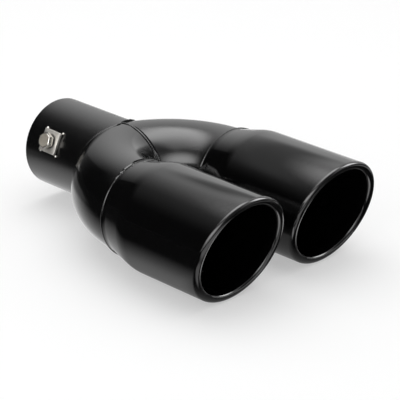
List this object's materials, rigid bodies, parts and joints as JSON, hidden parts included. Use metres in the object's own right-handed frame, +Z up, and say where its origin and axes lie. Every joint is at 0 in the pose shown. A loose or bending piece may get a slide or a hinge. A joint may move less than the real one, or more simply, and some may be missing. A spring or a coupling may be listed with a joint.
{
  "type": "exhaust tip",
  "caption": "Black clamp-on exhaust tip: a straight sleeve forks through bent, welded branches into side-by-side flared outlets with slant-cut rolled lips.",
  "frame": {"origin": "centre of the sleeve's bore at its open end", "axes": "+X with the gas flow towards the outlets, +Z up, the long side of the slanted mouths on top, -Y the outlet nearer the viewer in the picture"},
  "size_m": [0.2374, 0.1616, 0.076],
  "materials": {
    "sleeve_black": "satin-gloss black coating",
    "branch_black": "gloss black coating",
    "outlet_black": "gloss black coating",
    "weld_black": "gloss black coating over a weld bead",
    "stainless": "plain stainless steel",
    "tack_steel": "bright tack weld"
  },
  "bodies": {
    "tip": {"inlet_sleeve": "sleeve_black", "near_branch": "branch_black", "far_branch": "branch_black", "branch_weld": "weld_black", "near_outlet": "outlet_black", "far_outlet": "outlet_black", "near_neck_weld": "weld_black", "far_neck_weld": "weld_black", "clamp_nut": "stainless", "nut_tacks": "tack_steel"},
    "screw": {"clamp_screw": "stainless"}
  },
  "joints": [
    {"name": "clamp_screw_travel", "type": "slide", "parent": "tip", "child": "screw", "axis": [0, 0.9026, -0.4305], "range_m": [-0.0025, 0.0012]}
  ]
}
